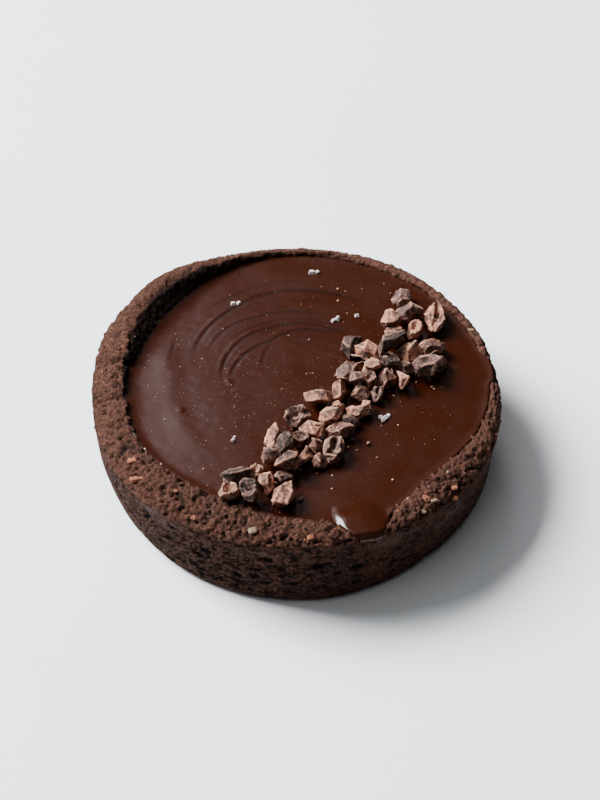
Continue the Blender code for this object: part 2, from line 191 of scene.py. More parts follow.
# Salt flakes on the ganache: x, y, length, width, height in millimetres, turn in degrees
SALT_FLAKES = (
    (-13.5, 22.8, 1.0, 0.8, 0.6, 10), (-12.4, 23.1, 0.9, 0.8, 0.5, 40),
    (2.1, 33.0, 1.3, 0.9, 0.7, 0), (3.2, 33.2, 0.9, 0.8, 0.5, 30),
    (6.9, 19.4, 1.1, 0.7, 0.6, 35), (7.7, 20.0, 1.0, 0.7, 0.7, 60),
    (11.5, 21.1, 1.0, 0.7, 0.5, 20), (-11.5, -14.1, 0.7, 0.6, 0.8, 70),
    (-11.2, -13.3, 0.5, 0.4, 0.5, 15), (16.4, -6.2, 0.9, 0.7, 0.5, 20),
    (17.2, -6.6, 1.3, 1.0, 0.7, 50), (17.9, -5.8, 0.9, 0.8, 0.5, 80),
)
# Pale specks on the ganache: x, y and size in millimetres
SPECKS = (
    (7.5, 28.6, 0.5), (7.6, 25.2, 0.5), (16.9, 30.8, 0.35), (12.4, 29.0, 0.35), (9.5, 21.8, 0.4),
    (2.1, 13.7, 0.45), (-24.7, -9.5, 0.55), (15.8, -16.6, 0.55), (7.5, -21.6, 0.5),
    (18.8, -21.9, 0.55), (7.5, -24.8, 0.4), (19.8, -8.0, 0.4), (26.8, 1.9, 0.4),
    (-16.6, -21.4, 0.35), (-18.7, 7.1, 0.4), (-22.8, 4.6, 0.4), (-15.1, 15.6, 0.35),
    (-24.3, 13.6, 0.35), (-27.8, -17.4, 0.7), (-24.5, -20.9, 0.6), (16.6, -8.4, 0.4),
    (-2.0, 14.6, 0.35), (1.9, 4.4, 0.3), (3.1, 4.6, 0.35), (10.4, -14.2, 0.4),
)


# ---- settings

def colour(name, description, default):
    return FloatVectorProperty(name=name, description=description, default=default,
                               subtype="COLOR", size=3, min=0, max=1)


def length(name, description, default):
    return FloatProperty(name=name, description=description, default=default, min=0,
                         subtype="DISTANCE", unit="LENGTH", precision=5)


def share(name, description, default):
    return FloatProperty(name=name, description=description, default=default, min=0, max=1,
                         subtype="FACTOR")


def count(name, description, default, low, high):
    return IntProperty(name=name, description=description, default=default, min=low, max=high)


def power(name, description, default):
    return FloatProperty(name=name, description=description, default=default, min=0,
                         unit="POWER")


class TartCrustSettings(bpy.types.PropertyGroup):
    """Sizes and colours of the shortcrust case."""

    # dark: the painted shade in the wall's pits, between the rim's crumbs and inside the rim
    dark: colour("Dark crust", "Colour in the pits and low in the crumb", (0.0065, 0.0035, 0.0028))
    body: colour("Crust", "Colour of most of the baked crust", (0.041, 0.0145, 0.0078))
    # light: the colour of the rim's top, laid on partly as painted light
    light: colour("Light crumb", "Colour of the broken crumb's tops", (0.080, 0.0330, 0.0213))
    # The proud crumb colour is a painted highlight on the rim's proudest crumbs
    crumb_highlight: colour("Proud crumb", "Colour of the driest, proudest crumbs", (0.180, 0.077, 0.046))
    smear: colour("Smear", "Colour where the wall was pressed smooth", (0.034, 0.0160, 0.0115))
    orange: colour("Baked bits", "Colour of the orange bits in the rim", (0.25, 0.085, 0.040))
    pale: colour("Pale bits", "Colour of the pale bits in the rim", (0.24, 0.16, 0.105))
    crumb: length("Crumb size", "Width of the rim's larger crumbs", 0.98 * MM)
    crumb_height: length("Crumb height", "How far the rim's crumbs stand up", 1.00 * MM)
    pit_depth: length("Pit depth", "Depth of the wall's small pits", 0.38 * MM)
    columns: count("Columns", "Faces round the case", 800, 60, 1000)
    loose_crumbs: count("Crumbs", "Loose crumbs along the rim", 420, 0, 2000)


class TartGanacheSettings(bpy.types.PropertyGroup):
    """Finish of the ganache."""

    body: colour("Ganache", "Colour of the set ganache", (0.0205, 0.0036, 0.0007))
    bloom: colour("Bloom", "Colour of the faint milky bloom", (0.0235, 0.0052, 0.0017))
    # The groove colour is painted shade, in the spatula's grooves and along the left edge by the
    # crust
    groove: colour("Groove", "Colour in the spatula's grooves", (0.006, 0.0012, 0.0004))
    roughness: share("Roughness", "How satin the ganache is", 0.25)
    arc_height: length("Arc height", "Height of the spatula arcs", 0.034 * MM)


class TartNibSettings(bpy.types.PropertyGroup):
    """Sizes and colours of the cacao nibs."""

    tan: colour("Tan skin", "Colour of the tan nibs", (0.40, 0.158, 0.098))
    brown: colour("Brown nib", "Colour of the brown nibs", (0.15, 0.055, 0.035))
    grey: colour("Grey nib", "Colour of the grey brown nibs", (0.115, 0.054, 0.044))
    dark: colour("Dark nib", "Colour of the dark nibs", (0.034, 0.016, 0.013))
    edge: colour("Raised edges", "Colour of the thin pale edges", (0.66, 0.35, 0.235))
    facet: length("Facet", "Longest edge of a nib's mesh", 0.29 * MM)
    chips: count("Chips", "Small chips among the nibs", 130, 0, 1000)
    crumple: length("Crumple", "Height of the wrinkles in a nib", 0.16 * MM)


class TartToppingSettings(bpy.types.PropertyGroup):
    """Sizes and colours of the salt, specks, dust and husks."""

    salt: colour("Salt", "Colour of the salt flakes", (0.82, 0.71, 0.71))
    speck: colour("Speck", "Colour of the pale specks", (0.55, 0.33, 0.22))
    husk: colour("Husk", "Colour of the papery husks", (0.38, 0.22, 0.15))
    dust: count("Dust", "Grains of cocoa dust on the ganache", 650, 0, 5000)


class TartStageSettings(bpy.types.PropertyGroup):
    """The floor and the light."""

    floor: colour("Floor", "Colour of the floor", (0.92, 0.96, 1.0))
    window: power("Window", "Power of the window light", 104.0)
    ceiling: power("Ceiling", "Power of the soft light from above", 4.0)
    sheen: power("Sheen", "Power of the light that glances off the ganache", 1.6)
    room: FloatProperty(name="Room", description="Strength of the room's light", default=0.062,
                        min=0)


# ---- shaping helpers

def smooth(value):
    """0 below 0 and 1 above 1, on a smooth step."""
    value = min(max(value, 0.0), 1.0)
    return value * value * (3 - 2 * value)


def around(stations, angle):
    """Read a ring of (degrees, value) stations at an angle, on a smooth closed curve."""
    angle = (angle + 180) % 360 - 180
    places = [place for place, _ in stations]
    values = [value for _, value in stations]
    after = next((i for i, place in enumerate(places) if place > angle), len(places))
    start, end = places[after - 1], places[after % len(places)]
    span = (end - start) % 360
    part = smooth(((angle - start) % 360) / span)
    return values[after - 1] * (1 - part) + values[after % len(values)] * part


def turn_between(angle, middle):
    """Degrees from a middle to an angle, from -180 to 180."""
    return (angle - middle + 180) % 360 - 180


def spilt(degrees):
    """How far the ganache has crept over the rim at the right, 0 to 1."""
    return smooth(1.6 * (1 - abs(turn_between(degrees, SPILL_ANGLE)) / SPILL_HALF_WIDTH))


def tongue_side(degrees):
    """Where an angle is across the tongue, from -1 at its left edge to 1 at its right."""
    return turn_between(degrees, TONGUE_ANGLE) / TONGUE_HALF_WIDTH


def tongue_share(side, right):
    """How full the tongue is at a side of it: steep at the left, and as given at the right."""
    return smooth((3.0 if side < 0 else right) * (1 - abs(side)))


def merged_solid(name):
    """A merged copy of one of the frame's solids."""
    model = bmesh.new()
    model.from_mesh(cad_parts[name].data)
    bmesh.ops.remove_doubles(model, verts=model.verts, dist=MERGE)
    return model


def tree_of(model):
    """A tree for sending rays at a bmesh, which is freed."""
    tree = BVHTree.FromBMesh(model)
    model.free()
    return tree


def surface_under(name):
    """A tree for finding the top of a finished piece."""
    model = bmesh.new()
    model.from_mesh(bpy.data.objects[name].data)
    return tree_of(model)


def resting_place(tree, x, y):
    return tree.ray_cast(Vector((x * MM, y * MM, FAR)), -UP)[0]


def placing(place, turn, tilt, size, axis="X"):
    """The matrix that sizes a small shape, tilts it about an axis, turns it and sets it down."""
    return (Matrix.Translation(place) @ Matrix.Rotation(turn, 4, "Z")
            @ Matrix.Rotation(tilt, 4, axis) @ Matrix.Diagonal((*size, 1)))


def bevelled(model, cube, offset, segments):
    """Bevel a cube's edges, and return its vertices."""
    edges = list({edge for vert in cube for edge in vert.link_edges})
    worn = bmesh.ops.bevel(model, geom=edges, offset=offset, segments=segments, profile=0.5,
                           affect="EDGES", material=-1)
    return list({vert for face in worn["faces"] for vert in face.verts})


def append(model, part):
    """Add a part to a model, and free the part."""
    mesh = bpy.data.meshes.new("part")
    part.to_mesh(mesh)
    part.free()
    model.from_mesh(mesh)
    bpy.data.meshes.remove(mesh)


def rolled_grid(rows, columns):
    """A flat grid to be rolled up round +Z: columns of faces along X, rows of points along Y."""
    model = bmesh.new()
    bmesh.ops.create_grid(model, x_segments=columns, y_segments=rows - 1, size=1)
    return model


def grid_place(vert, rows, columns):
    """The row and the column of a vertex of a grid; the last column meets the first."""
    column = round((vert.co.x + 1) / 2 * columns) % columns
    return round((vert.co.y + 1) / 2 * (rows - 1)), column


def point_at(angle, radius, height):
    return Vector((radius * math.cos(angle), radius * math.sin(angle), height))


def hit(tree, start, direction):
    """(radius, height) where a ray meets a solid."""
    place = tree.ray_cast(start, direction, FAR)[0]
    if place is None:
        raise RuntimeError(f"a ray from {start[:]} missed the solid")
    return place.xy.length, place.z


def close_ends(model):
    """Close a tube's two ends with flat faces."""
    edges = [edge for edge in model.edges if edge.is_boundary]
    bmesh.ops.edgeloop_fill(model, edges=edges)


def add_object(name, data):
    holder = bpy.data.objects.new(name, data)
    bpy.context.scene.collection.objects.link(holder)
    return holder


def finish_piece(model, name, material, slot, *nodes):
    """Make an object from a bmesh, on the tart's one body."""
    bmesh.ops.recalc_face_normals(model, faces=model.faces)
    mesh = bpy.data.meshes.new(name)
    model.to_mesh(mesh)
    model.free()
    mesh.shade_smooth()
    mesh.materials.append(material)
    piece = add_object(name, mesh)
    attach(piece, "root")
    if nodes:
        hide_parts(*nodes)
    return piece


# ---- material helpers

class Finish:
    """A Principled material and the nodes that feed it."""

    def __init__(self, name, roughness, **sockets):
        self.material = bpy.data.materials.new(name)
        self.material.use_nodes = True
        self.tree = self.material.node_tree
        self.shader = self.tree.nodes["Principled BSDF"]
        self.feed(self.shader, Roughness=roughness, **sockets)
        self.place = self.tree.nodes.new("ShaderNodeTexCoord").outputs["Object"]

    def link(self, source, target):
        """Give a socket a number, a vector, a colour or another socket's output."""
        if hasattr(source, "links"):
            self.tree.links.new(source, target)
        elif isinstance(source, (int, float)) or len(target.default_value) == 3:
            target.default_value = source
        else:
            target.default_value = (*source[:3], 1)

    def feed(self, node, **sockets):
        for socket, source in sockets.items():
            self.link(source, node.inputs[socket.replace("_", " ")])
        return node

    def node(self, kind, **sockets):
        return self.feed(self.tree.nodes.new("ShaderNode" + kind), **sockets)

    def noise(self, size, detail=4.0, roughness=0.6, stretch=(1, 1, 1)):
        """Noise with features of a size in metres, stretched by factors along the axes."""
        scale = self.node("Mapping", Vector=self.place,
                          Scale=[1 / (size * factor) for factor in stretch])
        return self.node("TexNoise", Vector=scale.outputs["Vector"], Scale=1.0, Detail=detail,
                         Roughness=roughness).outputs["Fac"]

    def attribute(self, name, output="Fac"):
        node = self.node("Attribute")
        node.attribute_name = name
        return node.outputs[output]

    def remap(self, value, low, high, new_low=0.0, new_high=1.0):
        node = self.node("MapRange", Value=value, From_Min=low, From_Max=high, To_Min=new_low,
                         To_Max=new_high)
        node.interpolation_type = "SMOOTHSTEP"
        return node.outputs["Result"]

    def mix(self, factor, first, second, blend="MIX"):
        node = self.node("Mix")
        node.data_type = "RGBA"
        node.blend_type = blend
        self.link(factor, node.inputs[0])
        self.link(first, node.inputs[6])
        self.link(second, node.inputs[7])
        return node.outputs[2]

    def add(self, first, second, operation="ADD"):
        node = self.node("Math")
        node.operation = operation
        self.link(first, node.inputs[0])
        self.link(second, node.inputs[1])
        return node.outputs[0]

    def patchy(self, mask, low, high, colour, share):
        """A colour that falls to a share of itself where a mask goes from low to high."""
        return self.mix(self.remap(mask, low, high), colour, [share * part for part in colour])

    def bump(self, height, distance, strength):
        node = self.node("Bump", Height=height, Distance=distance, Strength=strength)
        self.feed(self.shader, Normal=node.outputs["Normal"])

    def paint(self, source, socket="Base Color"):
        self.link(source, self.shader.inputs[socket])


# ---- crust

def crust_section(tree, angle):
    """The wall's section at an angle, from its foot up the outside, over the rim and down
    the inside to the floor, as arrays of radius and height."""
    out = point_at(angle, 1, 0)
    inner = hit(tree, UP * HEART_HEIGHT, out)[0]
    outer = hit(tree, out * FAR / 2 + UP * HEART_HEIGHT, -out)[0]
    heart = out * (inner + outer) / 2
    points = []
    for step in range(WALL_SAMPLES):
        height = HEART_HEIGHT * (step + 0.02) / WALL_SAMPLES
        points.append(hit(tree, out * FAR / 2 + UP * height, -out))
    for step in range(RIM_SAMPLES):
        lift = math.pi * step / RIM_SAMPLES
        direction = out * math.cos(lift) + UP * math.sin(lift)
        points.append(hit(tree, heart + UP * HEART_HEIGHT, direction))
    floor = GANACHE_LOW.z
    for step in range(INNER_SAMPLES):
        height = HEART_HEIGHT + (floor - HEART_HEIGHT) * (step + 0.02) / INNER_SAMPLES
        points.append(hit(tree, heart + UP * height, -out))
    return np.array(points).T


def crust_rows(section):
    """Places along a section: even rows over the wall and rim, then a few down inside."""
    radius, height = section
    lengths = np.concatenate(([0], np.cumsum(np.hypot(np.diff(radius), np.diff(height)))))
    peak = int(np.argmax(height))
    line = next(i for i in range(peak, len(height)) if height[i] < GANACHE_LINE)
    dense = np.linspace(0, lengths[line], DENSE_ROWS)
    deep = np.linspace(lengths[line], lengths[-1], DEEP_ROWS + 1)[1:]
    along = np.concatenate((dense, deep))
    return np.interp(along, lengths, radius), np.interp(along, lengths, height)


def crumb_lump(place, size):
    """A rounded lump round each of many scattered points, from 0 between lumps to 1 on top."""
    distances, points = noise.voronoi(place / size)
    top = 0.6 + 0.4 * noise.cell(points[0] * 7.3)
    return max(0.0, 1 - (distances[0] / 0.72) ** 2) * top


def wall_relief(place, degrees, settings):
    """How deep the baked face of the wall is pitted, and how far it is smeared smooth."""
    smear = 0.0
    for middle, height, half_width, half_height in WALL_SMEARS:
        across = turn_between(degrees, middle) / half_width
        along = (place.z / MM - height) / half_height
        smear = max(smear, smooth(1.6 * (1 - math.hypot(across, along))))
    smear *= smooth(0.8 + 1.3 * noise.noise(place / (3.0 * MM)))
    low = Vector((place.x, place.y, 3.0 * place.z))
    small = noise.noise(low / (0.68 * MM))
    large = noise.noise(low / (2.3 * MM) + Vector((31, 7, 3)))
    edge = noise.fractal(low / (0.6 * MM), 0.8, 2.0, 3)
    pit = smooth((small - 0.06 + 0.30 * edge) / 0.26) * (1 - 0.8 * smear)
    pit += 1.4 * smooth((large - 0.27 + 0.20 * edge) / 0.18) * (1 - 0.6 * smear)
    depth = settings.pit_depth * pit
    for middle, height, half_width, half_height, hole in WALL_HOLES:
        across = math.radians(turn_between(degrees, middle)) * 39 / half_width
        if abs(across) < 2:
            along = (place.z / MM - height) / half_height
            away = math.hypot(across, along) + 0.35 * edge
            depth = max(depth, hole * MM * smooth(1.7 * (1.25 - away)))
    depth += 0.10 * MM * (0.5 - 0.5 * edge) * (1 - 0.7 * smear)
    depth += 0.16 * MM * (0.5 + 0.5 * noise.noise(place / (6 * MM)))
    return depth, smear


def rim_relief(place, coarse, settings):
    """How high the broken crumb of the rim stands, from its hollows to its tops."""
    drift = noise.noise_vector(place / (0.8 * MM)) * 0.25 * MM
    big = crumb_lump(place + drift, settings.crumb)
    small = crumb_lump(place + drift * 0.5 + Vector((1, 2, 3)), 0.5 * settings.crumb)
    fine = noise.fractal(place / (0.45 * MM), 0.7, 2.1, 3)
    gap = smooth((noise.noise(place / (1.5 * MM) + Vector((9, 4, 6))) - 0.12) / 0.3)
    height = 0.62 * big + 0.50 * small + 0.36 * fine - 0.45 * gap
    return settings.crumb_height * (0.22 + 0.78 * coarse) * (height - 0.25), height


def shape_crust(model, settings):
    """Roll the grid up round the case, then pit its wall and break up its rim; also store painted
    shade and light for its colour.
    """
    tree = tree_of(merged_solid("case"))
    columns = settings.columns
    # Layers for the finish: the wall's smears, and painted shade and light on the crust
    hollow, crumbly, smeared, proud = [model.verts.layers.float.new(name) for name in
                                       ("hollow", "crumbly", "smeared", "proud")]
    sections = []
    for column in range(columns):
        radii, heights = crust_rows(crust_section(tree, 2 * math.pi * column / columns))
        sections.append((radii, heights, int(np.argmax(heights[:DENSE_ROWS]))))
    for vert in model.verts:
        row, column = grid_place(vert, CRUST_ROWS, columns)
        radii, heights, peak = sections[column]
        angle = 2 * math.pi * column / columns
        degrees = math.degrees(angle)
        if row < len(FOOT_ROWS):
            vert.co = point_at(angle, radii[0] * FOOT_ROWS[row], 0)
            continue
        index = row - len(FOOT_ROWS)
        radius, height = radii[index], heights[index]
        widest = radii[:peak].max()
        top_share = smooth((widest - radius) / (widest - radii[peak]))
        if height < HEART_HEIGHT and index < peak:
            top_share = 0.0
        inward = around(RIM_SHOULDER, degrees) * MM
        radius -= inward * (1.0 if index >= peak else top_share) * smooth(
            (height - HEART_HEIGHT) / (2 * MM))
        if index >= DENSE_ROWS:
            vert.co = point_at(angle, radius, height)
            continue
        before, after = max(index - 2, 0), min(index + 2, DENSE_ROWS - 1)
        slope = Vector((radii[after] - radii[before], heights[after] - heights[before]))
        slope.normalize()
        facing_out, facing_up = slope.y, -slope.x
        place = point_at(angle, radius, height)
        wall, smear = wall_relief(place, degrees, settings)
        coarse = around(RIM_COARSENESS, degrees)
        crumb, stand = rim_relief(place, coarse, settings)
        # the rim starts where the wall turns over, along a ragged line
        turned = smooth((1.15 - facing_out + 0.25 * noise.noise(place / (1.3 * MM))) / 0.55)
        if height < HEART_HEIGHT:
            turned = 0.0
        lift = -wall * (1 - turned) + crumb * turned
        for middle, half_width, depth in RIM_CRACKS:
            away = turn_between(degrees, middle) + 1.2 * noise.noise(place / (1.6 * MM))
            if abs(away) < 3 * half_width:
                lift -= depth * MM * math.exp(-(away / half_width) ** 2) * turned
        lift -= TONGUE_BED * smooth(4 * (1.25 - abs(tongue_side(degrees)))) * turned
        lift -= SPILL_BED * spilt(degrees) * turned
        lift *= 0.15 + 0.85 * smooth(height / (1.2 * MM))
        if facing_out < -0.6:
            lift = min(lift, 0.25 * MM)
        up = min(max(height + facing_up * lift, 0.0), CASE_HIGH.z)
        vert.co = point_at(angle, radius + facing_out * lift, up)
        # Painted shade: darker in the wall's pits and in the gaps between the rim's crumbs
        deep = wall / (1.5 * settings.pit_depth)
        gap_shade = smooth((0.30 - stand) / 0.55) * (0.20 + 0.45 * coarse)
        inner = smooth((-facing_out - 0.05) / 0.45) * turned
        # Painted shade on the inside of the rim where it faces away from the window, which also
        # takes the rim's lighter tone and highlight off there
        unlit = around(RIM_SHADE, degrees)
        vert[hollow] = max((1 - turned) * min(deep, 1) + turned * gap_shade, inner * unlit)
        shade = 1 - 0.88 * smooth((-facing_out - 0.1) / 0.5) * min(unlit / 0.3, 1)
        # Painted highlight on the proudest crumbs of the rim
        vert[proud] = turned * smooth((stand - 0.42) / 0.6) * shade
        # The rim's lighter top: partly baked tone, partly painted light round the rim, with
        # painted shade on its inside
        vert[crumbly] = turned * around(RIM_TONE, degrees) * shade
        vert[smeared] = smear * (1 - turned)
    bmesh.ops.remove_doubles(model, verts=model.verts, dist=MERGE)


def crust_finish(settings):
    """Dry baked cocoa shortcrust, with painted shade in its pits, between its crumbs and inside
    the rim, its broken crumb lighter partly in painted light, and a painted highlight on the
    proudest crumbs.
    """
    finish = Finish("baked_cocoa_crust", 0.82, Specular_IOR_Level=0.15)
    patches = finish.noise(7 * MM, detail=3)
    grain = finish.noise(0.55 * MM, detail=6, roughness=0.7)
    fleck = finish.noise(1.1 * MM, detail=3, roughness=0.7)
    low = finish.patchy(patches, 0.35, 0.65, settings.body, 0.75)
    # The rim's lighter top, partly painted light, kept off its shaded inside
    rim = finish.attribute("crumbly")
    skin = finish.mix(rim, low, settings.light)
    mottle = finish.remap(grain, 0.30, 0.72, 0.40, 1.6)
    skin = finish.mix(1.0, skin, mottle, "MULTIPLY")
    # Painted highlight: a warm colour in patches on the proudest crumbs
    crumb_highlight = finish.add(finish.attribute("proud"), finish.remap(fleck, 0.42, 0.66), "MULTIPLY")
    skin = finish.mix(finish.add(crumb_highlight, 0.55, "MULTIPLY"), skin, settings.crumb_highlight)
    skin = finish.mix(finish.remap(fleck, 0.61, 0.72, 0, 0.5), skin, settings.orange)
    skin = finish.mix(finish.add(finish.attribute("smeared"), 0.75, "MULTIPLY"), skin,
                      settings.smear)
    # Painted shade: darker in the pits, between the crumbs and inside the rim away from the window
    deep = finish.remap(finish.attribute("hollow"), 0.25, 0.8)
    finish.paint(finish.mix(deep, skin, settings.dark))
    finish.paint(finish.add(0.86, finish.add(finish.attribute("smeared"), 0.22, "MULTIPLY"),
                            "SUBTRACT"), "Roughness")
    finish.bump(finish.add(grain, finish.noise(0.22 * MM, detail=3)), 0.26 * MM, 1.0)
    return finish.material


def speckle_lump(model, place, size, chance, turn=0.0, chip=False):
    """Add a small uneven grain, or a flat broken chip, of a length, width and height."""
    if chip:
        grain = bmesh.ops.create_cube(model, size=0.9)["verts"]
        for vert in grain:
            vert.co += Vector([chance.uniform(-0.16, 0.16) for _ in range(3)])
        grain = bevelled(model, grain, 0.12, 1)
    else:
        grain = bmesh.ops.create_icosphere(model, subdivisions=1, radius=0.5)["verts"]
        for vert in grain:
            vert.co *= chance.uniform(0.75, 1.2)
    move = placing(place, math.radians(turn), chance.uniform(-0.4, 0.4), size)
    bmesh.ops.transform(model, matrix=move, verts=grain)
    return grain


class TART_OT_crust(bpy.types.Operator):
    """Make the baked case with its pitted wall and broken rim"""

    bl_idname = "tart.crust"
    bl_label = "Crust"

    def execute(self, context):
        settings = context.scene.tart_crust
        noise.seed_set(NOISE_SEED)
        model = rolled_grid(CRUST_ROWS, settings.columns)
        shape_crust(model, settings)
        close_ends(model)
        finish_piece(model, "crust_case", crust_finish(settings), "crust", "case")
        return {"FINISHED"}


class TART_OT_rim_bits(bpy.types.Operator):
    """Scatter loose crumbs and baked bits along the rim"""

    bl_idname = "tart.rim_bits"
    bl_label = "Rim bits"

    def execute(self, context):
        settings = context.scene.tart_crust
        chance = random.Random(11)
        tree = surface_under("crust_case")
        model = bmesh.new()
        tint = model.verts.layers.float_color.new("bit_colour")
        grains = []
        for degrees, radius, long, wide, tone in RIM_BITS:
            grains.append((degrees, radius * MM, long * MM, wide * MM, 0.7 * wide * MM,
                           getattr(settings, tone), 0.9))
        while len(grains) < len(RIM_BITS) + settings.loose_crumbs:
            degrees = chance.uniform(-180, 180)
            coarse = around(RIM_COARSENESS, degrees)
            if chance.random() > coarse ** 1.5:
                continue
            size = chance.uniform(0.28, 0.75) * MM
            radius = chance.uniform(32.5, 39.6) * MM
            pick = chance.random()
            mixed = [(1 - pick) * a + pick * b for a, b in zip(settings.body, settings.light)]
            if chance.random() < 0.05:
                mixed = settings.orange
            grains.append((degrees, radius, size, size * chance.uniform(0.7, 1), size * 0.8,
                           mixed, 0.25))
        for degrees, radius, long, wide, high, tone, sink in grains:
            start = point_at(math.radians(degrees), radius, FAR)
            place, normal = tree.ray_cast(start, -UP, 2 * FAR)[:2]
            baked_in = tone in (settings.orange, settings.pale) and sink > 0.25
            if place is None or not baked_in and (
                    place.z < GANACHE_HIGH.z - 0.2 * MM or normal.z < 0.3):
                continue
            if baked_in:
                normal = UP
            grain = speckle_lump(model, place + normal * (0.5 - sink) * high * 0.4,
                                 (long, wide, high), chance,
                                 chance.uniform(-30, 30) if baked_in else chance.uniform(0, 360),
                                 baked_in)
            shade = chance.uniform(0.8, 1.15)
            for vert in grain:
                vert[tint] = (*[shade * part for part in tone], 1)
        finish = Finish("crust_bits", 0.8, Specular_IOR_Level=0.25)
        grain = finish.noise(0.3 * MM, detail=4)
        finish.paint(finish.mix(0.7, finish.attribute("bit_colour", "Color"),
                                finish.remap(grain, 0.3, 0.7, 0.45, 1.2), "MULTIPLY"))
        finish.bump(grain, 0.08 * MM, 0.7)
        finish_piece(model, "crust_bits", finish.material, "crust").data.shade_flat()
        return {"FINISHED"}


# ---- ganache

def distance_to_line(x, y, points):
    """Distance from a place to a broken line through points, and the share of the way along."""
    best, where = FAR / MM, 0.0
    for index, (start, end) in enumerate(zip(points, points[1:])):
        span = Vector(end) - Vector(start)
        part = min(max((Vector((x, y)) - Vector(start)).dot(span) / span.length_squared, 0), 1)
        away = (Vector((x, y)) - Vector(start) - span * part).length
        if away < best:
            best, where = away, (index + part) / (len(points) - 1)
    return best, where


def ganache_relief(x, y, settings):
    """Height of the spatula's arcs, folds and nodules at a place, in metres, and the painted shade
    in the arcs' grooves.
    """
    height, groove = 0.0, 0.0
    away_x, away_y = x - SWIRL_MIDDLE[0], y - SWIRL_MIDDLE[1]
    wobble = 0.25 * noise.noise(Vector((x, y, 0)) / 9)
    reach = math.hypot(away_x, away_y) + wobble
    bearing = math.degrees(math.atan2(away_y, away_x))
    for stations, width, strength in SPATULA_ARCS:
        turn = bearing % 360
        places, radii = zip(*stations)
        off = (reach - np.interp(turn, places, radii)) / width
        ends = min(turn - places[0], places[-1] - turn)
        if ends > 0 and abs(off) < 4:
            strength *= smooth(ends / 18)
            height += settings.arc_height * strength * (
                0.7 * math.exp(-(off - 1.5) ** 2) - math.exp(-off ** 2))
            # Painted shade along the groove of each arc
            groove = max(groove, strength * math.exp(-off ** 2))
    for points, half_width, rise in SOFT_FOLDS:
        away, along = distance_to_line(x, y, points)
        if away < 3 * half_width:
            height += rise * MM * math.exp(-(away / half_width) ** 2) * smooth(
                4 * min(along, 1 - along) + 0.1)
    for spot_x, spot_y, width, rise in NODULES:
        away = math.hypot(x - spot_x, y - spot_y) / width
        if away < 2.5:
            height += rise * MM * math.exp(-away ** 2)
    height += 0.05 * MM * noise.noise(Vector((x, y, 5)) / 11)
    height += 0.012 * MM * noise.noise(Vector((x, 1.6 * y, 2)) / 2.2)
    return height, groove


def ganache_reach(tree, angle):
    """How far the ganache runs at an angle, to just inside the crust."""
    height = GANACHE_LINE + 0.4 * MM
    degrees = math.degrees(angle)
    # it runs on under the rim, and most of all at the spill and the tongue
    under = 0.25 + 1.0 * spilt(degrees) + 1.2 * tongue_share(tongue_side(degrees), 1.3)
    return hit(tree, UP * height, point_at(angle, 1, 0))[0] + SOLID_GAP + under * MM


class TART_OT_ganache(bpy.types.Operator):
    """Pour the ganache up to the crust, with its spatula arcs and the tongue over the rim"""

    bl_idname = "tart.ganache"
    bl_label = "Ganache"

    def execute(self, context):
        settings = context.scene.tart_ganache
        tree = tree_of(merged_solid("ganache"))
        level = resting_place(tree, 0, 0).z
        # the rows under the surface: how far in, in millimetres, and how high
        skirt = ((0.1, level - 0.9 * MM), (0.5, level - 3 * MM), (1.8, GANACHE_LOW.z),
                 (14.0, GANACHE_LOW.z))
        rows = GANACHE_ROWS + len(skirt)
        columns = GANACHE_COLUMNS
        reaches = [ganache_reach(tree, 2 * math.pi * step / columns) for step in range(columns)]
        model = rolled_grid(rows, columns)
        groove = model.verts.layers.float.new("groove")
        for vert in model.verts:
            row, column = grid_place(vert, rows, columns)
            angle = 2 * math.pi * column / columns
            reach = reaches[column]
            if row >= GANACHE_ROWS:
                inset, height = skirt[row - GANACHE_ROWS]
                vert.co = point_at(angle, reach - inset * MM, height)
                continue
            part = row / (GANACHE_ROWS - 1)
            radius = reach * (1 - (1 - part) ** 1.25) if part < 1 else reach
            place = point_at(angle, radius, 0)
            degrees = math.degrees(angle)
            relief, vert[groove] = ganache_relief(place.x / MM, place.y / MM, settings)
            height = level + relief
            left = around(LEFT_BANK, degrees)
            edge = (reach - radius) / (MENISCUS * (1 + 1.6 * left))
            # Painted shadow: the ganache darkens along the left edge, where the crust's wall
            # shades it
            vert[groove] = max(vert[groove], 0.85 * left * math.exp(-(edge / 0.6) ** 2))
            side = tongue_side(degrees)
            tongue = tongue_share(side, 1.4) * smooth((radius - TONGUE_START) / (5 * MM))
            height += SPILL_RISE * spilt(degrees) * smooth((radius - SPILL_START) / (6 * MM))
            rise = (0.10 + 0.22 * left) * MM * math.exp(-edge ** 2 * 1.5)
            height += rise * (1 - tongue)
            bulge = TONGUE_BULGE * (1 - 0.15 * min(abs(side), 1) ** 2 - 0.5 * max(side, 0))
            height += bulge * tongue * smooth(edge / 0.9)
            height -= 0.3 * MM * tongue * math.exp(-edge ** 2 * 4)
            vert.co = point_at(angle, radius, height)
        bmesh.ops.remove_doubles(model, verts=model.verts, dist=MERGE)
        close_ends(model)
        finish_piece(model, "ganache_filling", ganache_finish(settings), "ganache", "ganache")
        return {"FINISHED"}


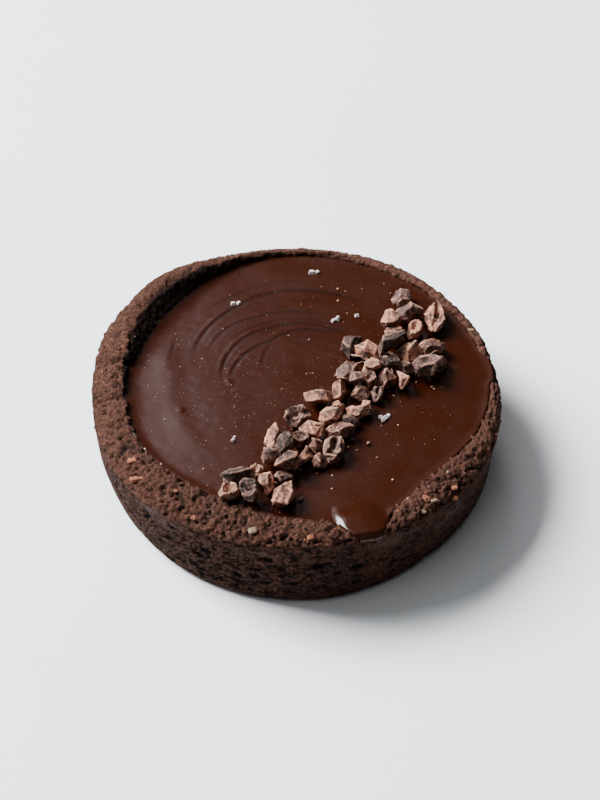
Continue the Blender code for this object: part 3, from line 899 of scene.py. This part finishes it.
def ganache_finish(settings):
    """Satin dark ganache with a faint milky bloom."""
    finish = Finish("set_ganache", settings.roughness, Specular_IOR_Level=0.26, Coat_Weight=0.20,
                    Coat_Roughness=0.14, Coat_IOR=1.4)
    bloom = finish.remap(finish.noise(22 * MM, detail=2, roughness=0.4), 0.35, 0.7, 0, 0.5)
    skin = finish.mix(bloom, settings.body, settings.bloom)
    # Painted shade: darker in the spatula's grooves and along the left edge by the crust
    groove = finish.add(finish.attribute("groove"), 0.9, "MULTIPLY")
    finish.paint(finish.mix(groove, skin, settings.groove))
    satin = finish.noise(9 * MM, detail=4)
    finish.paint(finish.remap(satin, 0.3, 0.7, settings.roughness - 0.05,
                              settings.roughness + 0.07), "Roughness")
    ripple = finish.noise(1.6 * MM, detail=3)
    finish.bump(ripple, 0.02 * MM, 0.5)
    return finish.material


# ---- nibs

def sharp_breaks(model, chance):
    """The ends of a nib's sharp edges, and how thin and pale each has worn."""
    model.normal_update()
    starts, ends, wear = [], [], []
    for edge in model.edges:
        if edge.is_manifold and edge.calc_face_angle(0) > math.radians(SHARP_BREAK):
            starts.append(edge.verts[0].co[:])
            ends.append(edge.verts[1].co[:])
            wear.append(max(0.0, chance.uniform(-0.35, 1.0)))
    return np.array(starts), np.array(ends), np.array(wear)


def refine(model, longest):
    """Cut a shape's long edges in half, a few times over."""
    for _ in range(REFINING_PASSES):
        long_edges = [edge for edge in model.edges if edge.calc_length() > longest]
        bmesh.ops.subdivide_edges(model, edges=long_edges, cuts=1)
        bmesh.ops.triangulate(model, faces=[face for face in model.faces if len(face.verts) > 3])


def nearest_break(points, starts, ends):
    """Distance from each point to the nearest of some segments, and which one it is."""
    spans = ends - starts
    offsets = points[:, None, :] - starts[None]
    shares = np.clip((offsets * spans).sum(2) / (spans ** 2).sum(1), 0, 1)
    away = np.linalg.norm(offsets - shares[..., None] * spans, axis=2)
    nearest = away.argmin(1)
    return away[np.arange(len(points)), nearest], nearest


def nib_tone(number):
    return next((tone for tone, numbers in NIB_TONES.items() if number in numbers), "dark")


def crumple_nib(model, number, settings, tint, chance):
    """Round a nib's breaks, dish its faces, wrinkle it and tint it, with painted shade in its
    wrinkles and pores.
    """
    starts, ends, wear = sharp_breaks(model, chance)
    refine(model, settings.facet)
    bmesh.ops.smooth_vert(model, verts=model.verts, factor=0.2, use_axis_x=True,
                          use_axis_y=True, use_axis_z=True)
    model.normal_update()
    points = np.array([vert.co[:] for vert in model.verts])
    away, nearest = nearest_break(points, starts, ends)
    dish = chance.uniform(0.06, 0.26) * MM
    shift = Vector((number * 3.1, number * 1.7, number * 0.9))
    tone = Vector(getattr(settings, nib_tone(number)))
    shade = chance.uniform(0.8, 1.2)
    moved = []
    for vert, distance, which in zip(model.verts, away, nearest):
        place = vert.co / MM + shift
        edge = math.exp(-(distance / (0.19 * MM)) ** 2) * wear[which]
        wrinkle = noise.ridged_multi_fractal(place / 1.3, 0.9, 2.1, 4, 1.0, 2.0) - 1.0
        near, next_near = noise.voronoi(place / 1.25)[0][:2]
        crease = 1 - min((next_near - near) / 0.55, 1)
        pore = smooth((noise.noise(place / 0.42) - 0.15) / 0.3)
        lift = 0.10 * MM - dish * (1 - math.exp(-(distance / (0.55 * MM)) ** 2))
        lift += settings.crumple * (0.30 * wrinkle + 0.35 * crease - 0.1)
        lift -= 0.09 * MM * pore * (1 - edge)
        lift += 0.14 * MM * edge
        warp = noise.noise_vector(place / 2.0) * 0.20 * MM
        moved.append(vert.co + vert.normal * lift + warp - UP * NIB_SINK)
        worn = min(1.0, 0.9 * edge + 0.25 * smooth((crease - 0.72) / 0.25))
        # Painted shade: darker in the wrinkles' hollows and in the pores
        depth = smooth(0.5 - 1.2 * wrinkle) * 0.6 + 0.35 * pore
        mottle = shade * (1 + 0.5 * noise.noise(place / 0.9))
        broken = smooth((noise.noise(place / 1.9 + Vector((5, 9, 2))) - 0.02) / 0.22)
        base = tone.lerp(Vector(settings.dark), 0.75 * broken) * mottle * (1 - min(depth, 0.8))
        final = base.lerp(Vector(settings.edge) * (0.55 if nib_tone(number) == "dark" else 1.0),
                          worn * 0.75)
        vert[tint] = (*final, 1)
    for vert, place in zip(model.verts, moved):
        vert.co = place


def nib_finish():
    """Dry cacao nib: mottled, with fine pores and hardly any shine."""
    finish = Finish("cacao_nib", 0.62, Specular_IOR_Level=0.35)
    grain = finish.noise(0.45 * MM, detail=5, roughness=0.65)
    tone = finish.mix(0.75, finish.attribute("nib_colour", "Color"),
                      finish.remap(grain, 0.28, 0.72, 0.35, 1.45), "MULTIPLY")
    finish.paint(tone)
    finish.bump(finish.add(grain, finish.noise(0.16 * MM, detail=2)), 0.20 * MM, 0.9)
    return finish.material


class TART_OT_nibs(bpy.types.Operator):
    """Break up the cacao nibs: worn edges, dished faces and wrinkles"""

    bl_idname = "tart.nibs"
    bl_label = "Cacao nibs"

    def execute(self, context):
        settings = context.scene.tart_nibs
        noise.seed_set(NOISE_SEED)
        chance = random.Random(5)
        heap = bmesh.new()
        heap.verts.layers.float_color.new("nib_colour")
        for name in NIB_NODES:
            nib = merged_solid(name)
            tint = nib.verts.layers.float_color.new("nib_colour")
            crumple_nib(nib, int(name.split("_")[1]), settings, tint, chance)
            append(heap, nib)
        finish_piece(heap, "cacao_nibs", nib_finish(), "cacao_nib", *NIB_NODES)
        return {"FINISHED"}


class TART_OT_nib_chips(bpy.types.Operator):
    """Scatter chips of nib among the nibs and beside them"""

    bl_idname = "tart.nib_chips"
    bl_label = "Nib chips"

    def execute(self, context):
        settings = context.scene.tart_nibs
        chance = random.Random(21)
        tree = surface_under("ganache_filling")
        places = [sum(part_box(name), Vector()) / 2 for name in NIB_NODES]
        model = bmesh.new()
        tint = model.verts.layers.float_color.new("nib_colour")
        for _ in range(settings.chips):
            near = chance.choice(places) / MM
            x, y = near.x + chance.gauss(0, 2.8), near.y + chance.gauss(0, 2.8)
            size = chance.uniform(0.35, 1.25) * chance.uniform(0.5, 1)
            place = resting_place(tree, x, y) + UP * 0.30 * size * MM
            chip = bmesh.ops.create_icosphere(model, subdivisions=2, radius=0.5)["verts"]
            seed = Vector((x, y, size)) * 5
            for vert in chip:
                vert.co *= 0.75 + 0.9 * abs(noise.noise(vert.co * 1.6 + seed))
                vert.co.x = min(vert.co.x, 0.3)
            size *= MM
            move = placing(place, chance.uniform(0, 2 * math.pi), chance.uniform(-0.7, 0.7),
                           (size, size * chance.uniform(0.45, 0.9), 0.6 * size))
            bmesh.ops.transform(model, matrix=move, verts=chip)
            tone = Vector(chance.choice((settings.tan, settings.brown, settings.grey,
                                         settings.edge)))
            for vert in chip:
                vert[tint] = (*(tone * chance.uniform(0.6, 1.1)), 1)
        finish_piece(model, "nib_chips", bpy.data.materials["cacao_nib"], "cacao_nib")
        return {"FINISHED"}


class TART_OT_husks(bpy.types.Operator):
    """Curl the papery husks and fibres among the nibs"""

    bl_idname = "tart.husks"
    bl_label = "Husks"

    def execute(self, context):
        settings = context.scene.tart_toppings
        model = bmesh.new()
        for x, y, rise, long, wide, turn, tilt, curl in HUSKS:
            strip = bmesh.new()
            bmesh.ops.create_grid(strip, x_segments=12, y_segments=2, size=0.5)
            for vert in strip.verts:
                along, across = vert.co.x, vert.co.y
                taper = 1 - (2 * along) ** 4
                angle = along * curl
                vert.co = Vector((math.sin(angle) / curl * long,
                                  across * wide * taper + 0.12 * long * math.sin(5 * along),
                                  (math.cos(angle) - 1) / curl * long + 0.3 * wide * across ** 2))
            bmesh.ops.solidify(strip, geom=strip.faces, thickness=HUSK_THICKNESS)
            place = Vector((x * MM, y * MM, GANACHE_HIGH.z + rise * MM))
            move = placing(place, math.radians(turn), math.radians(tilt), (MM, MM, MM), "Y")
            bmesh.ops.transform(strip, matrix=move, verts=strip.verts)
            bmesh.ops.recalc_face_normals(strip, faces=strip.faces)
            append(model, strip)
        finish = Finish("papery_husk", 0.6, Specular_IOR_Level=0.35)
        vein = finish.noise(0.5 * MM, detail=3, stretch=(2, 1, 1))
        finish.paint(finish.patchy(vein, 0.35, 0.65, settings.husk, 0.5))
        finish.bump(vein, 0.05 * MM, 0.6)
        finish_piece(model, "husks", finish.material, "cacao_nib")
        return {"FINISHED"}


# ---- small toppings

class TART_OT_salt(bpy.types.Operator):
    """Lay the salt flakes on the ganache"""

    bl_idname = "tart.salt"
    bl_label = "Salt"

    def execute(self, context):
        settings = context.scene.tart_toppings
        chance = random.Random(3)
        tree = surface_under("ganache_filling")
        model = bmesh.new()
        for x, y, long, wide, high, turn in SALT_FLAKES:
            flake = bmesh.ops.create_cube(model, size=1)["verts"]
            top = [vert for vert in flake if vert.co.z > 0]
            bmesh.ops.scale(model, vec=(0.7, 0.7, 1), verts=top)
            flake = bevelled(model, flake, 0.05, 2)
            place = resting_place(tree, x, y) + UP * 0.35 * high * MM
            move = placing(place, math.radians(turn), chance.uniform(-0.5, 0.5),
                           (long * MM, wide * MM, high * MM))
            bmesh.ops.transform(model, matrix=move, verts=flake)
        finish = Finish("salt_flake", 0.22, Specular_IOR_Level=0.5, Transmission_Weight=0.2)
        frost = finish.noise(0.4 * MM, detail=3)
        finish.paint(finish.patchy(frost, 0.3, 0.7, settings.salt, 0.7))
        finish.bump(frost, 0.05 * MM, 0.5)
        finish_piece(model, "salt_flakes", finish.material, "salt").data.shade_flat()
        return {"FINISHED"}


class TART_OT_specks(bpy.types.Operator):
    """Scatter pale specks and cocoa dust over the ganache"""

    bl_idname = "tart.specks"
    bl_label = "Specks and dust"

    def execute(self, context):
        settings = context.scene.tart_toppings
        chance = random.Random(8)
        tree = surface_under("ganache_filling")
        model = bmesh.new()
        grains = list(SPECKS)
        while len(grains) < len(SPECKS) + settings.dust:
            if chance.random() < 0.45:
                x, y = chance.gauss(-8, 9), chance.gauss(-4, 8)
            else:
                bearing, reach = chance.uniform(0, 2 * math.pi), 34 * math.sqrt(chance.random())
                x, y = reach * math.cos(bearing), reach * math.sin(bearing)
            if math.hypot(x, y) < 31:
                grains.append((x, y, 0.08 + 0.13 * chance.random() ** 3))
        for x, y, size in grains:
            place = resting_place(tree, x, y) + UP * 0.15 * size * MM
            spread = (size * MM, size * MM * chance.uniform(0.6, 1), 0.6 * size * MM)
            speckle_lump(model, place, spread, chance, chance.uniform(0, 360))
        finish = Finish("cocoa_specks", 0.7, Specular_IOR_Level=0.3)
        tone = finish.noise(2.5 * MM, detail=2)
        finish.paint(finish.patchy(tone, 0.4, 0.6, settings.speck, 0.45))
        finish_piece(model, "cocoa_specks", finish.material, "cacao_nib")
        return {"FINISHED"}


# ---- stage

class TART_OT_stage(bpy.types.Operator):
    """Set the floor, the light and the camera"""

    bl_idname = "tart.stage"
    bl_label = "Stage"

    def execute(self, context):
        settings = context.scene.tart_stage
        model = bmesh.new()
        bmesh.ops.create_grid(model, x_segments=1, y_segments=1, size=1.5)
        mesh = bpy.data.meshes.new("floor")
        model.to_mesh(mesh)
        model.free()
        finish = Finish("pale_floor", 0.45, Specular_IOR_Level=0.3)
        cloud = finish.noise(120 * MM, detail=2)
        finish.paint(finish.patchy(cloud, 0.3, 0.7, settings.floor, 0.97))
        mesh.materials.append(finish.material)
        floor = add_object("floor", mesh)
        floor.location.z = -0.05 * MM
        self.light("window", (-1.00, 0.44, 0.95), 0.75, settings.window)
        self.light("ceiling", (-0.35, -0.20, 1.30), 1.1, settings.ceiling)
        self.light("sheen", (-0.27, 0.88, 0.99), 0.34, settings.sheen, (1.0, 0.88, 0.91))
        world = bpy.data.worlds.new("room")
        world.use_nodes = True
        sky = world.node_tree.nodes["Background"]
        sky.inputs["Color"].default_value = (1.0, 0.97, 0.96, 1)
        sky.inputs["Strength"].default_value = settings.room
        context.scene.world = world
        self.camera(context)
        return {"FINISHED"}

    def light(self, name, place, size, power, tint=(0.98, 0.99, 1.0)):
        """A square soft light that faces the tart."""
        lamp = bpy.data.lights.new(name, "AREA")
        lamp.shape = "SQUARE"
        lamp.size = size
        lamp.energy = power
        lamp.color = tint
        holder = add_object(name, lamp)
        holder.location = place
        holder.rotation_mode = "QUATERNION"
        holder.rotation_quaternion = (-Vector(place)).to_track_quat("-Z", "Y")

    def camera(self, context):
        """Look down at the tart from the front."""
        slope = math.radians(47.5)
        roll = math.radians(2.71)
        distance = 0.4
        aim = 9 * MM
        lens = bpy.data.cameras.new("camera")
        lens.lens = 91.53
        lens.sensor_width = 36
        lens.shift_x = 0.0066
        lens.shift_y = 0.0229
        lens.clip_start = 0.01
        holder = add_object("camera", lens)
        holder.location = (0, -distance * math.cos(slope), distance * math.sin(slope) + aim)
        holder.rotation_mode = "QUATERNION"
        tilt = Matrix.Rotation(math.radians(90) - slope, 3, "X") @ Matrix.Rotation(roll, 3, "Z")
        holder.rotation_quaternion = tilt.to_quaternion()
        context.scene.camera = holder


class TART_PT_panel(bpy.types.Panel):
    """The tart's pieces, in the order they are made"""

    bl_label = "Chocolate Tart"
    bl_idname = "TART_PT_panel"
    bl_space_type = "VIEW_3D"
    bl_region_type = "UI"
    bl_category = "Tart"

    def draw(self, context):
        for settings, _, operators in GROUPS:
            box = self.layout.box()
            group = getattr(context.scene, settings)
            for name in group.__annotations__:
                box.prop(group, name)
            for operator in operators:
                box.operator(operator.bl_idname)


GROUPS = (
    ("tart_crust", TartCrustSettings, (TART_OT_crust, TART_OT_rim_bits)),
    ("tart_ganache", TartGanacheSettings, (TART_OT_ganache,)),
    ("tart_nibs", TartNibSettings, (TART_OT_nibs, TART_OT_nib_chips)),
    ("tart_toppings", TartToppingSettings, (TART_OT_husks, TART_OT_salt, TART_OT_specks)),
    ("tart_stage", TartStageSettings, (TART_OT_stage,)),
)
CLASSES = (*(group for _, group, _ in GROUPS),
           *(operator for *_, operators in GROUPS for operator in operators), TART_PT_panel)


def register():
    for item in CLASSES:
        bpy.utils.register_class(item)
    for name, group, _ in GROUPS:
        setattr(bpy.types.Scene, name, PointerProperty(type=group))


def unregister():
    for name, *_ in GROUPS:
        delattr(bpy.types.Scene, name)
    for item in reversed(CLASSES):
        bpy.utils.unregister_class(item)


def main():
    register()
    bpy.ops.tart.crust()
    bpy.ops.tart.rim_bits()
    bpy.ops.tart.ganache()
    bpy.ops.tart.nibs()
    bpy.ops.tart.nib_chips()
    bpy.ops.tart.husks()
    bpy.ops.tart.salt()
    bpy.ops.tart.specks()
    bpy.ops.tart.stage()


if __name__ == "__main__":
    main()
